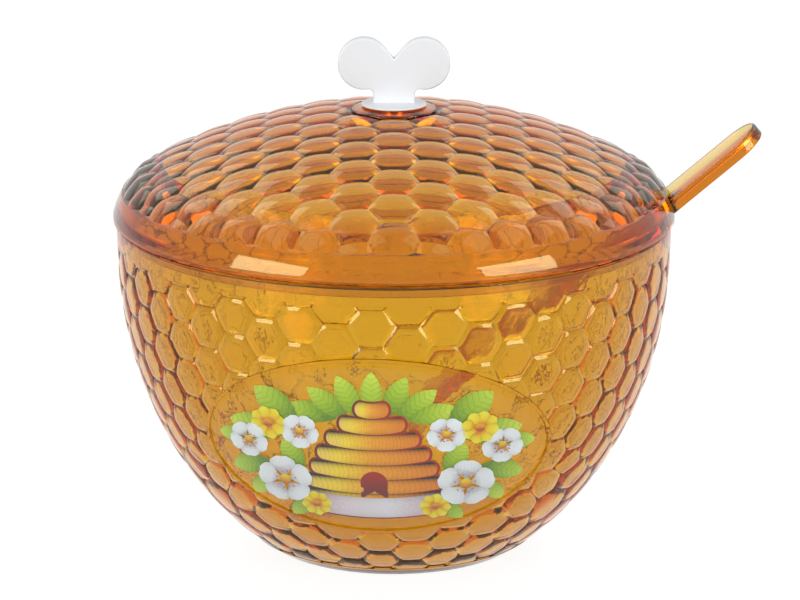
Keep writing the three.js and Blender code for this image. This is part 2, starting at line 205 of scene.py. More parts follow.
def honeycomb(name, sites, sink, rise, dome_share, fineness=10):
    """Closed skin of shallow domes, one for each cell, that meet in a groove halfway to each neighbour."""
    net = bmesh.new()
    for _, ball, _ in sites:
        net.verts.new(ball)
    bmesh.ops.convex_hull(net, input=net.verts)
    bmesh.ops.triangulate(net, faces=net.faces)
    net.verts.index_update()
    net.faces.index_update()
    corner_of, depth_of, beyond = {}, {}, {}
    for face in net.faces:
        near = [sites[v.index] for v in face.verts]
        beyond[face.index] = any(kind == "cap" for _, _, kind in near)
        middle = sum((place for place, _, _ in near), Vector()) / 3
        corner_of[face.index] = middle
        grooved = any(kind == "cell" for _, _, kind in near)
        reach = sum((middle - place).length_squared for place, _, _ in near) / 3
        depth_of[face.index] = rise * reach / CELL_REACH ** 2 if grooved and not beyond[face.index] else 0.0
    for face in net.faces:
        if beyond[face.index]:
            edge = next(e for e in face.edges if all(sites[v.index][2] == "flat" for v in e.verts))
            inner = next(f for f in edge.link_faces if f is not face)
            flats = [sites[v.index][0] for v in edge.verts]
            corner_of[face.index] = flats[0] + flats[1] - corner_of[inner.index]
    fans = []
    for face in net.faces:
        for loop in face.loops:
            here, there = loop.vert.index, loop.link_loop_next.vert.index
            twin = loop.link_loop_radial_next.face
            fans.append((sites[here][0], corner_of[twin.index], corner_of[face.index], sites[there][0],
                         depth_of[twin.index], depth_of[face.index], sites[here][2], sites[there][2]))
    net.free()
    crown, left, right, other = (np.array([fan[k] for fan in fans]) for k in range(4))
    deep_left, deep_right = (np.array([fan[k] for fan in fans]) for k in (4, 5))
    capped = np.array([fan[6] == "cap" for fan in fans])[:, None]
    domed = np.array([fan[6] == "cell" for fan in fans])
    grooved = np.array([rise / CELL_REACH ** 2 * ("cell" in fan[6:]) for fan in fans])

    def bend(edge):
        return grooved * ((edge - crown) ** 2 + (edge - other) ** 2).sum(axis=1) / 2

    def groove(mix):
        edge = left * (1 - mix) + right * mix
        depth = bend(edge) + (1 - mix) * (deep_left - bend(left)) + mix * (deep_right - bend(right))
        return edge, np.maximum(depth, 0)

    weights = [(i, j) for i in range(fineness + 1) for j in range(fineness + 1 - i)]
    spot = {pair: k for k, pair in enumerate(weights)}
    points = []
    for i, j in weights:
        out = (i + j) / fineness
        edge, depth = groove(j / max(i + j, 1))
        pillow = dome_share * out ** 2 + (1 - dome_share) * out ** BEVEL_POWER
        dome = np.where(domed, pillow, out ** FLAT_POWER)
        lying = sink(crown * (1 - out) + edge * out, CROWN_DROP + depth * dome)
        closing = crown * (1 - out) + sink(edge, CROWN_DROP + depth) * out
        points.append(np.where(capped, closing, lying))
    order = np.arange(len(fans))
    faces = []
    for i, j in weights:
        if i + j < fineness:
            faces.append((spot[i, j], spot[i + 1, j], spot[i, j + 1]))
        if i + j < fineness - 1:
            faces.append((spot[i + 1, j], spot[i + 1, j + 1], spot[i, j + 1]))
    points = np.concatenate(points)
    faces = np.concatenate([np.stack([k * len(fans) + order for k in face], 1) for face in faces])
    _, first, back = np.unique(np.round(points * WELD_GRID).astype(np.int64), axis=0,
                               return_index=True, return_inverse=True)
    return mesh_object(name, points[first], back.reshape(-1)[faces])


def sink_in_bowl(flat, depth):
    z = flat[:, 2]
    radius = bowl_radius(z)
    slope = np.maximum(0, BELLY_HEIGHT - z) / BELLY_DEPTH ** 2
    lean = np.arctan2(slope, radius / RIM_RADIUS ** 2)
    angle = np.arctan2(flat[:, 1], flat[:, 0])
    sunk = radius - depth * np.cos(lean)
    return np.stack([sunk * np.cos(angle), sunk * np.sin(angle), z + depth * np.sin(lean)], 1)


def oval_prism(name, width, height, steps=160):
    """Upright oval prism from the axis out through the labelled side."""
    points = []
    for depth in (0.0, -RIM_RADIUS - OVERRUN):
        for i in range(steps):
            angle = 2 * math.pi * i / steps
            points.append((width / 2 * math.cos(angle), depth, WINDOW_CENTRE + height / 2 * math.sin(angle)))
    faces = [tuple(range(steps))[::-1], tuple(range(steps, 2 * steps))]
    for i in range(steps):
        j = (i + 1) % steps
        faces.append((i, j, steps + j, steps + i))
    prism = mesh_object(name, points, faces)
    prism.data.transform(Matrix.Rotation(LABEL_TURN, 4, "Z"))
    return prism


def round_edge(radius, height, size, from_side, steps=5):
    """Quarter round between an upright side and a flat top, from the side over to the top."""
    arc = []
    for i in range(steps + 1):
        angle = math.pi / 2 * i / steps
        arc.append((radius - size + size * math.cos(angle), height - size + size * math.sin(angle)))
    return arc if from_side else arc[::-1]


bowl = honeycomb("bowl_moulding", bowl_sites(), sink_in_bowl, CELL_RISE, CELL_DOME)
band_low = RIM_HEIGHT - RIM_BAND
carve(bowl, turned("band", [(0, band_low), (float(bowl_radius(band_low)), band_low)]
                   + round_edge(RIM_RADIUS, RIM_HEIGHT, RIM_ROUND, True) + [(0, RIM_HEIGHT)]), "UNION")
foot_top = FOOT_BAND * (1 - FOOT_RADIUS / RIM_RADIUS)
foot_edge = [(FOOT_RADIUS - RIM_ROUND, 0), (FOOT_RADIUS - RIM_ROUND / 3, RIM_ROUND / 4)]
carve(bowl, turned("foot", [(0, 0)] + foot_edge + bowl_side(RIM_ROUND, foot_top, 0, 6)
                   + [(0, foot_top)]), "UNION")
window_low = WINDOW_CENTRE - WINDOW_HEIGHT / 2 - BEAD_WIDTH
window_high = WINDOW_CENTRE + WINDOW_HEIGHT / 2 + BEAD_WIDTH


def window_solid(name, inset):
    return turned(name, [(0, window_low)] + bowl_side(window_low, window_high, inset) + [(0, window_high)])


bead = oval_prism("bead", WINDOW_WIDTH + 2 * BEAD_WIDTH, WINDOW_HEIGHT + 2 * BEAD_WIDTH)
carve(bead, window_solid("bead_skin", -BEAD_RISE), "INTERSECT")
carve(bowl, bead, "UNION")
pane = oval_prism("pane", WINDOW_WIDTH, WINDOW_HEIGHT)
carve(pane, window_solid("pane_skin", 0), "DIFFERENCE")
carve(bowl, pane, "DIFFERENCE")
carve(bowl, turned("cavity", [(0, FLOOR_THICK)] + bowl_side(FLOOR_THICK, BELLY_HEIGHT, BOWL_WALL)
                   + [(BOWL_INSIDE, RIM_HEIGHT - RIM_EASE), (BOWL_INSIDE + RIM_EASE, RIM_HEIGHT),
                      (BOWL_INSIDE + RIM_EASE, RIM_HEIGHT + OVERRUN), (0, RIM_HEIGHT + OVERRUN)]),
      "DIFFERENCE")
ground = [(0, -OVERRUN), (RIM_RADIUS, -OVERRUN), (RIM_RADIUS, 0), (0, 0)]
carve(bowl, turned("ground", ground), "DIFFERENCE")
smooth(bowl)


def moulded(name, roughness, spread, wave_length, wave_depth):
    """Plastic material whose mould left it slightly wavy, with a polish that is not quite even."""
    look = bpy.data.materials.new(name)
    look.use_nodes = True
    nodes, links = look.node_tree.nodes, look.node_tree.links
    shader = nodes["Principled BSDF"]
    spot = nodes.new("ShaderNodeTexCoord")
    polish = nodes.new("ShaderNodeTexNoise")
    polish.inputs["Scale"].default_value = 0.5 / wave_length
    polish.inputs["Detail"].default_value = 4.0
    links.new(spot.outputs["Object"], polish.inputs["Vector"])
    rough = nodes.new("ShaderNodeMath")
    rough.operation = "MULTIPLY_ADD"
    rough.inputs[1].default_value = 2 * spread
    rough.inputs[2].default_value = roughness - spread
    links.new(polish.outputs["Fac"], rough.inputs[0])
    links.new(rough.outputs["Value"], shader.inputs["Roughness"])
    waves = nodes.new("ShaderNodeTexNoise")
    waves.inputs["Scale"].default_value = 1 / wave_length
    waves.inputs["Detail"].default_value = 2.0
    links.new(spot.outputs["Object"], waves.inputs["Vector"])
    bump = nodes.new("ShaderNodeBump")
    bump.inputs["Strength"].default_value = 1.0
    bump.inputs["Distance"].default_value = wave_depth
    links.new(waves.outputs["Fac"], bump.inputs["Height"])
    links.new(bump.outputs["Normal"], shader.inputs["Normal"])
    return look, nodes, links, shader


def amber_plastic(name, density, wave_depth):
    """Clear amber polystyrene: the deeper the light goes in, the redder it comes out."""
    look, nodes, links, shader = moulded(name, 0.04, 0.02, 0.003, wave_depth)
    shader.inputs["Base Color"].default_value = (0.82, 0.76, 0.2, 1.0)
    shader.inputs["Specular Tint"].default_value = (0.9, 0.8, 0.45, 1.0)
    shader.inputs["IOR"].default_value = 1.57
    shader.inputs["Transmission Weight"].default_value = 1.0
    absorb = nodes.new("ShaderNodeVolumeAbsorption")
    absorb.inputs["Color"].default_value = (0.975, 0.881, 0.0, 1.0)
    absorb.inputs["Density"].default_value = density
    links.new(absorb.outputs["Volume"], nodes["Material Output"].inputs["Volume"])
    return look


def dress(piece, look, slot, body, *nodes):
    piece.data.materials.clear()
    piece.data.materials.append(look)
    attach(piece, body)
    if nodes:
        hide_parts(*nodes)


dress(bowl, amber_plastic("bowl_amber", BOWL_DENSITY, BOWL_WAVES), "amber_plastic", "bowl_body", "bowl")

# Lid: a domed amber moulding with a honeycomb top, a smooth rounded shoulder and a thick edge.
# A rib inside drops into the bowl's mouth, a slot in the edge lets the spoon's handle out, and a
# round boss in the middle carries the knob.
LID_OVERHANG = 0.0007
LID_WALL = 0.0022
UNDER_CELLS = 0.0008
DOME_RISE = 0.0251
DOME_RADIUS = 0.120
DOME_SHARE = 0.9127
CORNER_SHARE = (0.745, 0.575)
CELL_SHARE = 0.968
SHOULDER_BLEND = 0.0013
EDGE_HEIGHT = 0.0014
LID_COLUMN_PITCH = 0.0083
LID_ROW_PITCH = 0.009
LID_CELL_RISE = 0.00075
LID_CELL_DOME = 0.8
SEAT_GAP = 0.0003
RIB_DEPTH = 0.003
RIB_THICK = 0.0016
RIB_GAP = 0.0004
BOSS_RADIUS = 0.0095
BOSS_ROUND = 0.0004
MOAT_WIDTH = 0.0024
MOAT_DEPTH = 0.0013
BASE_RADIUS = 0.0073
STEM_RADIUS = 0.0026
STEM_GAP = 0.0003
HANDLE_WIDTH = 0.0136
HANDLE_THICK = 0.0031
SPOON_TILT = math.radians(40.6)
SPOON_GAP = 0.00025
NOTCH_GAP = 0.0006
LID_DENSITY = 1650.0
LID_WAVES = 0.00002

LID_RADIUS = RIM_RADIUS + LID_OVERHANG
LID_BOTTOM = RIM_HEIGHT + SEAT_GAP
DOME_EDGE = DOME_SHARE * LID_RADIUS
CELL_EDGE = CELL_SHARE * LID_RADIUS
LID_TOP = RIM_HEIGHT + DOME_RISE
spoon_along = Vector((math.cos(SPOON_TILT), 0, math.sin(SPOON_TILT)))
spoon_up = Vector((-math.sin(SPOON_TILT), 0, math.cos(SPOON_TILT)))
handle_rest = math.sqrt((BOWL_INSIDE + RIM_EASE) ** 2 - (HANDLE_WIDTH / 2) ** 2)
spoon_origin = Vector((handle_rest, 0, RIM_HEIGHT)) + spoon_up * (HANDLE_THICK / 2 + SPOON_GAP)
spoon_frame = Matrix((spoon_along, Vector((0, 1, 0)), spoon_up)).transposed().to_4x4()
spoon_frame.translation = spoon_origin


def dome_height(radius):
    return DOME_RISE - DOME_RADIUS + np.sqrt(DOME_RADIUS ** 2 - radius ** 2)


def shoulder_ends(inset):
    """Upright edge, corner and dome end of the shoulder's curve, as radius and height."""
    start, side = DOME_EDGE - inset, LID_RADIUS - inset
    high = float(RIM_HEIGHT + dome_height(start)) - inset
    low = LID_BOTTOM + EDGE_HEIGHT
    corner = (start + (side - start) * CORNER_SHARE[0], low + (high - low) * CORNER_SHARE[1])
    return np.array([(side, low), corner, (start, high)])


def shoulder(inset, steps=16):
    t = np.linspace(0, 1, steps + 1)[:, None]
    side, corner, start = shoulder_ends(inset)
    return [tuple(p) for p in ((1 - t) ** 2 * side + 2 * t * (1 - t) * corner + t * t * start).tolist()]


def sunk_line(radius, depth):
    """Radius and height of the lid's outside, sunk square to it; past the edge it runs straight on."""
    radius = np.asarray(radius, float)
    inside = np.minimum(radius, DOME_EDGE)
    side, corner, start = shoulder_ends(0)
    bend, lean = side[0] - 2 * corner[0] + start[0], 2 * (side[0] - corner[0])
    left = np.clip(side[0] - radius, 0, side[0] - start[0])
    t = 2 * left / (lean + np.sqrt(lean ** 2 - 4 * bend * left))
    z = (1 - t) ** 2 * side[1] + 2 * t * (1 - t) * corner[1] + t ** 2 * start[1]
    slope = ((1 - t) * (corner[1] - side[1]) + t * (start[1] - corner[1])) \
        / ((1 - t) * (corner[0] - side[0]) + t * (start[0] - corner[0]))
    z = z + np.maximum(0, radius - side[0]) * slope
    on_dome = radius <= DOME_EDGE
    z = np.where(on_dome, RIM_HEIGHT + dome_height(inside), z)
    slope = np.where(on_dome, -inside / np.sqrt(DOME_RADIUS ** 2 - inside ** 2), slope)
    square = np.hypot(1, slope)
    return radius + depth * slope / square, z - depth / square


def sink_in_lid(flat, depth):
    angle = np.arctan2(flat[:, 1], flat[:, 0])
    radius, z = sunk_line(np.hypot(flat[:, 0], flat[:, 1]), depth)
    return np.stack([radius * np.cos(angle), radius * np.sin(angle), z], 1)


def lid_sites():
    """Centres of the lid's cells on a flat grid, which is put up on to the lid's outside later."""
    reach = CELL_EDGE + LID_ROW_PITCH / 2
    sites = [(Vector((0, 0, RIM_HEIGHT)), Vector((0, 0, -1)), "cap")]

    def site(x, y, kind):
        ball = on_ball(math.atan2(y, x), -math.log(math.hypot(x, y) / LID_RADIUS))
        sites.append((Vector((x, y, 0)), ball, kind))

    columns = math.ceil(reach / LID_COLUMN_PITCH)
    rows = math.ceil(reach / LID_ROW_PITCH)
    for column in range(-columns, columns + 1):
        half = 0 if column % 2 else 0.5
        for row in range(-rows - 1, rows + 1):
            x, y = column * LID_COLUMN_PITCH, (row + half) * LID_ROW_PITCH
            if LID_ROW_PITCH / 4 < math.hypot(x, y) < reach:
                site(x, y, "cell")
    edge = reach + LID_ROW_PITCH / 2
    for i in range(48):
        angle = 2 * math.pi * i / 48
        site(edge * math.cos(angle), edge * math.sin(angle), "flat")
    return sites


def dome_line(start, drop, steps=30):
    radii = [start * (1 - i / steps) for i in range(1, steps + 1)]
    return [(r, float(RIM_HEIGHT + dome_height(r)) - drop) for r in radii]


edge_low = LID_BOTTOM + EDGE_HEIGHT
lid_core = [(0, LID_BOTTOM), (LID_RADIUS - RIM_ROUND / 2, LID_BOTTOM),
            (LID_RADIUS, LID_BOTTOM + RIM_ROUND / 2)]
lid_core += [point for point in shoulder(0, 32) if point[0] > CELL_EDGE]
lid_core += [tuple(float(v) for v in sunk_line(CELL_EDGE, 0))]
under = [sunk_line((CELL_EDGE - SHOULDER_BLEND) * share, 2 * LID_CELL_RISE)
         for share in np.linspace(1, 0, 31)]
lid_core += [(max(0.0, float(r)), float(z)) for r, z in under]
lid = turned("lid_moulding", lid_core)
lid_cells = honeycomb("lid_cells", lid_sites(), sink_in_lid, LID_CELL_RISE, LID_CELL_DOME)
carve(lid_cells, turned("column", [(0, edge_low), (CELL_EDGE, edge_low), (CELL_EDGE, LID_TOP), (0, LID_TOP)]),
      "INTERSECT")
carve(lid, lid_cells, "UNION")
boss_top = float(RIM_HEIGHT + dome_height(BOSS_RADIUS))
moat_low = boss_top - MOAT_DEPTH
carve(lid, turned("moat", [(0, moat_low), (BOSS_RADIUS, moat_low), (BOSS_RADIUS + MOAT_WIDTH, LID_TOP),
                           (0, LID_TOP)]), "DIFFERENCE")
carve(lid, turned("boss", [(0, RIM_HEIGHT + EDGE_HEIGHT), (BOSS_RADIUS, RIM_HEIGHT + EDGE_HEIGHT)]
                  + round_edge(BOSS_RADIUS, boss_top, BOSS_ROUND, True)
                  + [(BASE_RADIUS, LID_TOP), (0, LID_TOP)]), "UNION")
rib_outer = BOWL_INSIDE - RIB_GAP
rib_inner = rib_outer - RIB_THICK
rib_low = RIM_HEIGHT - RIB_DEPTH
carve(lid, turned("rib", [(0, rib_low), (rib_outer - RIM_ROUND / 2, rib_low),
                          (rib_outer, rib_low + RIM_ROUND / 2),
                          (rib_outer, edge_low), (0, edge_low)]), "UNION")
inner = shoulder(LID_RADIUS - rib_inner)
carve(lid, turned("hollow", [(0, rib_low - OVERRUN), (rib_inner, rib_low - OVERRUN)] + inner
                  + dome_line(inner[-1][0], UNDER_CELLS + LID_WALL)), "DIFFERENCE")
hole = STEM_RADIUS + STEM_GAP
carve(lid, turned("stem_hole", [(0, RIM_HEIGHT), (hole, RIM_HEIGHT), (hole, LID_TOP + OVERRUN),
                                (0, LID_TOP + OVERRUN)], 48), "DIFFERENCE")
on_handle = spoon_frame @ Vector((0, 0, HANDLE_THICK / 2 + NOTCH_GAP))
notch_high = max(min(z, on_handle.z + (x - on_handle.x) * math.tan(SPOON_TILT))
                 for x, z in shoulder(0, 72))
notch_half = HANDLE_WIDTH / 2 + NOTCH_GAP
corners = [(x, y, z) for x in (rib_inner - OVERRUN, LID_RADIUS + OVERRUN)
           for y in (-notch_half, notch_half) for z in (rib_low - OVERRUN, notch_high)]
notch = mesh_object("notch", corners, [(0, 1, 3, 2), (4, 6, 7, 5), (0, 4, 5, 1),
                                       (2, 3, 7, 6), (0, 2, 6, 4), (1, 5, 7, 3)])
carve(lid, notch, "DIFFERENCE")
smooth(lid)
dress(lid, amber_plastic("lid_amber", LID_DENSITY, LID_WAVES), "amber_plastic", "lid_body", "lid")

# Knob: one opaque white moulding, a flat plate with two round lobes on a neck and a round base.
# Its stem snaps through the lid's boss.
LOBE_RADIUS = 0.00585
LOBE_SPACING = 0.0134
LOBE_HEIGHT = 0.00865
DIP_HEIGHT = 0.00975
NECK_WIDTH = 0.0093
NECK_FILLET = 0.001
KNOB_THICK = 0.0032
KNOB_ROUND = 0.0005
COLLAR_ROUND = 0.00025
BASE_THICK = 0.0008
BARB_REACH = 0.0007
BARB_HEIGHT = 0.0016
base_top = LID_TOP + SEAT_GAP + BASE_THICK


def arc(centre, radius, start, end, steps=24):
    turns = [start + (end - start) * i / steps for i in range(steps + 1)]
    return [(centre[0] + radius * math.cos(a), centre[1] + radius * math.sin(a)) for a in turns]


def rounded_plate(name, outline, thick, round_size, steps=5):
    """Flat plate on an outline that runs anticlockwise, with rounded edges all round."""
    spots = [Vector(p) for i, p in enumerate(outline)
             if (Vector(p) - Vector(outline[i - 1])).length > 1e-6]
    count = len(spots)
    normals = []
    for i in range(count):
        before = (spots[i] - spots[i - 1]).normalized()
        after = (spots[(i + 1) % count] - spots[i]).normalized()
        a, b = Vector((before.y, -before.x)), Vector((after.y, -after.x))
        normals.append((a + b) / max(0.2, 1 + a.dot(b)))
    rings = []
    for side in (-1, 1):
        for k in range(steps + 1):
            turn = math.pi / 2 * (k if side < 0 else steps - k) / steps
            rings.append((round_size * (1 - math.sin(turn)),
                          side * (thick / 2 - round_size + round_size * math.cos(turn))))
    points = []
    for inset, level in rings:
        points += [(p.x - n.x * inset, p.y - n.y * inset, level) for p, n in zip(spots, normals)]
    faces = [tuple(range(count))[::-1], tuple(range((len(rings) - 1) * count, len(rings) * count))]
    for r in range(len(rings) - 1):
        for i in range(count):
            j = (i + 1) % count
            faces.append((r * count + i, r * count + j, (r + 1) * count + j, (r + 1) * count + i))
    return mesh_object(name, points, faces)


def knob_outline():
    half, centre = NECK_WIDTH / 2, LOBE_SPACING / 2
    fillet_x = half + NECK_FILLET
    fillet_z = LOBE_HEIGHT - math.sqrt((LOBE_RADIUS + NECK_FILLET) ** 2 - (fillet_x - centre) ** 2)
    touch = math.atan2(fillet_z - LOBE_HEIGHT, fillet_x - centre)
    aside = math.hypot(centre, DIP_HEIGHT - LOBE_HEIGHT)
    leave = math.atan2(LOBE_HEIGHT - DIP_HEIGHT, centre) + math.asin(LOBE_RADIUS / aside) + math.pi / 2
    right = [(half, -BASE_THICK / 2)] + arc((fillet_x, fillet_z), NECK_FILLET, math.pi, math.pi + touch, 8)
    right += arc((centre, LOBE_HEIGHT), LOBE_RADIUS, touch, leave, 48)
    return right + [(0, DIP_HEIGHT)] + [(-x, z) for x, z in reversed(right)]


knob = rounded_plate("knob_moulding", knob_outline(), KNOB_THICK, KNOB_ROUND)
knob.data.transform(Matrix.Rotation(math.pi / 2, 4, "X"))
knob.data.transform(Matrix.Translation((0, 0, base_top)))
under = LID_TOP - UNDER_CELLS - LID_WALL - STEM_GAP
foot_low = base_top - BASE_THICK
collar = [(0, under - BARB_HEIGHT), (STEM_RADIUS * 0.9, under - BARB_HEIGHT), (STEM_RADIUS + BARB_REACH, under),
          (STEM_RADIUS, under), (STEM_RADIUS, foot_low), (BASE_RADIUS - COLLAR_ROUND, foot_low)]
collar += [(BASE_RADIUS - COLLAR_ROUND + COLLAR_ROUND * math.sin(a),
            foot_low + COLLAR_ROUND - COLLAR_ROUND * math.cos(a)) for a in np.linspace(0.3, math.pi * 0.8, 7)]
collar += [(BASE_RADIUS * 0.75, base_top - BASE_THICK * 0.25), (BASE_RADIUS * 0.5, base_top), (0, base_top)]
carve(knob, turned("collar", collar, 128), "UNION")
smooth(knob, math.radians(35))

KNOB_WHITE, nodes, links, shader = moulded("knob_white", 0.34, 0.08, 0.0012, 0.00002)
shader.inputs["Base Color"].default_value = (0.84, 0.81, 0.87, 1)
shader.inputs["IOR"].default_value = 1.5
shader.inputs["Subsurface Weight"].default_value = 0.15
shader.inputs["Subsurface Radius"].default_value = (0.002, 0.0018, 0.0015)
dress(knob, KNOB_WHITE, "white_plastic", "lid_body", "knob")

# Spoon: a small amber spoon, moulded in one with a flat handle, both ends of it round in plan.
# It leans on the bowl's rim in the lid's notch, with its oval scoop down in the bowl.
HANDLE_OUT = 0.0281
NECK_SHARE = 0.7
HANDLE_ROUND = 0.0006
SCOOP_LENGTH = 0.042
SCOOP_WIDTH = 0.028
SCOOP_DEPTH = 0.008
SCOOP_WALL = 0.0016
SPOON_DENSITY = 900.0
SPOON_WAVES = 0.000008

floor_drop = RIM_HEIGHT - FLOOR_THICK - SEAT_GAP
rise = (HANDLE_THICK / 2 + SPOON_GAP) * math.cos(SPOON_TILT)
scoop_tip = -(floor_drop + rise - SCOOP_WALL * math.cos(SPOON_TILT)) / math.sin(SPOON_TILT)
scoop_middle = scoop_tip + SCOOP_LENGTH / 2
neck_at = scoop_middle + SCOOP_LENGTH / 2 - SCOOP_WALL


def handle_outline():
    wide = HANDLE_WIDTH / 2
    neck = wide * NECK_SHARE
    end = HANDLE_OUT + HANDLE_ROUND - wide
    return ([(0, -wide), (end * 0.5, -wide)] + arc((end, 0), wide, -math.pi / 2, math.pi / 2, 40)
            + [(end * 0.5, wide), (0, wide)] + arc((neck_at, 0), neck, math.pi / 2, 3 * math.pi / 2, 24))


def half_ball(name, length, width, depth, top, steps=96, rings=32):
    """Lower part of an ellipsoid, closed by a flat face at the given level under its middle."""
    latitude = math.asin(top / depth)
    profile = [(math.cos(a), math.sin(a)) for a in np.linspace(-math.pi / 2, latitude, rings)[1:]]
    profile = [(0, -1)] + profile + [(0, math.sin(latitude))]
    ball = turned(name, profile, steps)
    ball.data.transform(Matrix.Diagonal((length / 2, width / 2, depth, 1)))
    return ball


spoon = rounded_plate("spoon_moulding", handle_outline(), HANDLE_THICK, HANDLE_ROUND)
scoop_top = HANDLE_THICK / 2 - SCOOP_WALL
place = Matrix.Translation((scoop_middle, 0, 0))
bowl_of_spoon = half_ball("scoop", SCOOP_LENGTH, SCOOP_WIDTH, SCOOP_DEPTH, scoop_top)
bowl_of_spoon.data.transform(place)
carve(spoon, bowl_of_spoon, "UNION")
hollow = half_ball("scoop_hollow", SCOOP_LENGTH - 2 * SCOOP_WALL, SCOOP_WIDTH - 2 * SCOOP_WALL,
                   SCOOP_DEPTH - SCOOP_WALL, HANDLE_THICK / 2 + SCOOP_WALL)
hollow.data.transform(place)
carve(spoon, hollow, "DIFFERENCE")
spoon.data.transform(spoon_frame)
smooth(spoon, math.radians(30))
dress(spoon, amber_plastic("spoon_amber", SPOON_DENSITY, SPOON_WAVES), "amber_plastic", "spoon_body", "spoon")

# Label: a clear gloss film on the smooth oval window, printed with a straw hive between two sprigs.
# Each ink is a raised printed coat on the film: leaves, blossoms, coils of straw, and a plain ribbon.
FILM_MARGIN = 0.0012
FILM_GAP = 0.0001
FILM_THICK = 0.0001
INK_THICK = 0.00002
INK_STEP = 0.000006
MESH_STEP = 0.0016
PRINT_CREASE = math.radians(40)
FILM_STEPS = 160
MILLIMETRE = 0.001

film_face = FILM_GAP + FILM_THICK
film_width = WINDOW_WIDTH / 2 - FILM_MARGIN
film_height = WINDOW_HEIGHT / 2 - FILM_MARGIN
label_turn = Matrix.Rotation(LABEL_TURN, 3, "Z")


def on_window(x, y, proud):
    """Point of the label's flat drawing, put straight back on to the curved window."""
    z = WINDOW_CENTRE + y
    radius = float(bowl_radius(z, -proud))
    return label_turn @ Vector((x, -math.sqrt(radius * radius - x * x), z))


def printed(name, shapes, level, thick=INK_THICK):
    """Thin closed plates on the window; a shape is its outline, its own axes and a shade from 0 to 1."""
    points, faces, motif = [], [], []
    for rank, (outline, middle, axis, length, width, shade) in enumerate(shapes):
        rings = max(2, math.ceil(max(math.dist(p, middle) for p in outline) / MESH_STEP))
        count = len(outline)
        top = level + INK_STEP * (rank % 5)
        starts = []
        for proud, sizes in ((top, range(rings + 1)), (top - thick, range(rings, -1, -1))):
            for k in sizes:
                starts.append(len(points))
                for px, py in outline if k else [middle]:
                    x = middle[0] + (px - middle[0]) * k / rings
                    y = middle[1] + (py - middle[1]) * k / rings
                    points.append(on_window(x, y, proud))
                    dx, dy = x - middle[0], y - middle[1]
                    motif.append(((dx * axis[0] + dy * axis[1]) / length + 0.5,
                                  (dy * axis[0] - dx * axis[1]) / width * 2, shade))
        for row, (a, b) in enumerate(zip(starts, starts[1:])):
            for i in range(count):
                j = (i + 1) % count
                if row == 0:
                    faces.append((a, b + i, b + j))
                elif row == len(starts) - 2:
                    faces.append((a + i, b, a + j))
                else:
                    faces.append((a + i, b + i, b + j, a + j))
    plate = mesh_object(name, points, faces)
    spots = plate.data.attributes.new("motif", "FLOAT_VECTOR", "POINT")
    spots.data.foreach_set("vector", np.array(motif, dtype=np.float32).ravel())
    return plate


def blade(base, turn, length, width, belly=1.0, notch=0.0, teeth=0, shade=0.5, steps=16):
    """Leaf or petal that starts at its base; belly over one puts its widest place nearer the tip."""
    along = Vector((math.cos(turn), math.sin(turn)))
    across = Vector((-along.y, along.x))
    sides = []
    for i in range(steps + 1):
        t = i / steps
        half = width / 2 * math.sin(math.pi * t ** belly) ** 0.8 if 0 < t < 1 else 0.0
        if teeth:
            half *= 1 - 0.13 * ((t * teeth) % 1)
        sides.append((t * length, half))
    if notch:
        sides[-1] = (length * (1 - notch), 0.0)
    start = Vector(base)
    right = [start + along * x - across * y for x, y in sides]
    left = [start + along * x + across * y for x, y in reversed(sides[1:-1])]
    middle = start + along * length * 0.55
    return [tuple(p) for p in right + left], tuple(middle), tuple(along), length, width, shade


def disc(middle, radius, shade=0.5, steps=20):
    turns = [2 * math.pi * i / steps for i in range(steps)]
    outline = [(middle[0] + radius * math.cos(a), middle[1] + radius * math.sin(a)) for a in turns]
    return outline, middle, (0.0, 1.0), 2 * radius, 2 * radius, shade


def band(left, right, low, high, sag, shade=0.5, steps=14):
    """Flat band with round ends that hangs down by sag in its middle."""
    middle, half, tall = (left + right) / 2, (right - left) / 2, (high - low) / 2
    centre = (low + high) / 2
    rounds = half - tall * 0.8

    def hang(x):
        return centre - sag * (1 - ((x - middle) / half) ** 2)

    xs = [middle - rounds + 2 * rounds * i / steps for i in range(steps + 1)]
    ends = [(tall * 0.8 * math.cos(a), tall * math.sin(a)) for a in np.linspace(-1.2, 1.2, 7)]
    outline = [(x, hang(x) - tall) for x in xs]
    outline += [(middle + rounds + dx, hang(xs[-1]) + dy) for dx, dy in ends]
    outline += [(x, hang(x) + tall) for x in reversed(xs)]
    outline += [(middle - rounds - dx, hang(xs[0]) + dy) for dx, dy in reversed(ends)]
    return outline, (middle, hang(middle)), (1.0, 0.0), 2 * half, 2 * tall, shade


def arch(foot, half, height, shade=0.3, steps=14):
    """Doorway with a flat foot and a round head."""
    rise = height - half
    outline = [(foot[0] - half, foot[1]), (foot[0] + half, foot[1])]
    turns = [math.pi * i / steps for i in range(steps + 1)]
    outline += [(foot[0] + half * math.cos(a), foot[1] + rise + half * math.sin(a)) for a in turns]
    return outline, (foot[0], foot[1] + height / 2), (0.0, 1.0), height, 2 * half, shade


